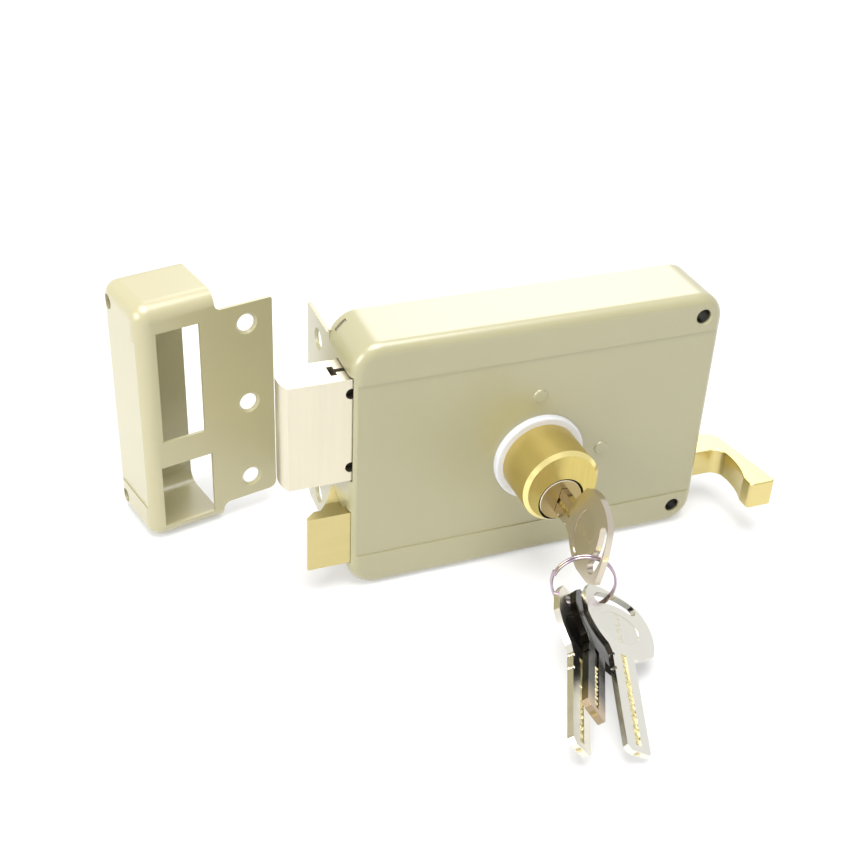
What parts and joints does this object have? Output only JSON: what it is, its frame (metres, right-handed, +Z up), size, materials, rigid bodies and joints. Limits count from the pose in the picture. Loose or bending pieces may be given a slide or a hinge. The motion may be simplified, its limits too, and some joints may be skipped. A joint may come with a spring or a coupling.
{
  "type": "rim box lock",
  "caption": "Surface-mounted rim lock: pressed box case with dead bolt, sprung latch and finger pull, round key cylinder with key, ring of spare keys, and a matching box keeper.",
  "frame": {"origin": "middle of the case's underside, on which the lock stands", "axes": "+X along the case from the forend to the finger pull, the way both bolts draw back; +Y from the room side towards the door; +Z up the case"},
  "size_m": [0.2311, 0.1944, 0.1],
  "materials": {
    "beige_enamel": "satin beige enamel",
    "inner_steel": "zinc-plated sheet",
    "screw_steel": "bright zinc",
    "post_steel": "turned steel",
    "bolt_nickel": "champagne satin nickel",
    "latch_nickel": "horizontally brushed",
    "pull_brass": "pale satin brass",
    "spring_steel": "spring steel",
    "cylinder_brass": "turned brass",
    "plug_brass": "brushed brass",
    "pin_brass": "turned brass",
    "collar_plastic": "milky white",
    "pinion_steel": "sintered steel",
    "key_nickel": "polished nickel",
    "ring_steel": "bright"
  },
  "bodies": {
    "lock": {"case_shell": "beige_enamel", "back_plate": "inner_steel", "back_plate_screws": "screw_steel", "guide_posts": "post_steel", "fixing_sleeves": "post_steel", "brake_spring": "spring_steel", "spring_anchor": "inner_steel", "latch_spring": "spring_steel", "cylinder_body": "cylinder_brass", "cylinder_collar": "collar_plastic", "cylinder_retainer": "inner_steel", "driver_pins": "pin_brass", "pin_springs": "spring_steel", "pin_caps": "pin_brass", "keeper_box": "beige_enamel"},
    "plug": {"cylinder_plug": "plug_brass", "plug_clip": "spring_steel", "drive_pinion": "pinion_steel", "key_pins": "pin_brass", "lock_key": "key_nickel"},
    "deadbolt": {"deadbolt_head": "bolt_nickel", "bolt_plate": "inner_steel", "bolt_pins": "post_steel"},
    "latch": {"latch_head": "latch_nickel", "latch_pins": "post_steel", "latch_slide": "inner_steel", "finger_pull": "pull_brass", "pull_pins": "post_steel", "spring_rod": "post_steel"},
    "ring": {"split_ring": "ring_steel"},
    "right_key": {"spare_key_right": "key_nickel"},
    "middle_key": {"spare_key_middle": "key_nickel"},
    "left_key": {"spare_key_left": "key_nickel"}
  },
  "joints": [
    {"name": "key_turn", "type": "hinge", "parent": "lock", "child": "plug", "pos_m": [0.0008, -0.03375, 0.0391], "axis": [0, 1, 0], "range_deg": [0, 348]},
    {"name": "deadbolt_slide", "type": "slide", "parent": "lock", "child": "deadbolt", "axis": [1, 0, 0], "range_m": [0, 0.0212]},
    {"name": "latch_slide", "type": "slide", "parent": "lock", "child": "latch", "axis": [1, 0, 0], "range_m": [0, 0.015], "stiffness_N_per_m": 250, "springref_m": -0.006, "deforming": ["latch_spring"]},
    {"name": "ring_swing", "type": "hinge", "parent": "plug", "child": "ring", "pos_m": [0.00025, -0.06484, 0.03669], "axis": [-0.852, 0.3497, 0.3895], "range_deg": [-10, 20]},
    {"name": "right_key_swing", "type": "hinge", "parent": "ring", "child": "right_key", "pos_m": [0.00326, -0.06741, 0.01949], "axis": [0.6552, -0.1818, 0.7332], "range_deg": [0, 8]},
    {"name": "middle_key_swing", "type": "hinge", "parent": "ring", "child": "middle_key", "pos_m": [-0.00258, -0.06552, 0.01617], "axis": [0.9286, -0.3313, 0.1671], "range_deg": [0, 8]},
    {"name": "left_key_swing", "type": "hinge", "parent": "ring", "child": "left_key", "pos_m": [-0.00665, -0.06399, 0.01631], "axis": [0.9045, -0.3562, -0.2344], "range_deg": [0, 8]}
  ],
  "couplings": [
    {"joint": "key_turn", "follows": "deadbolt_slide", "rad_per_m": 285.71}
  ]
}
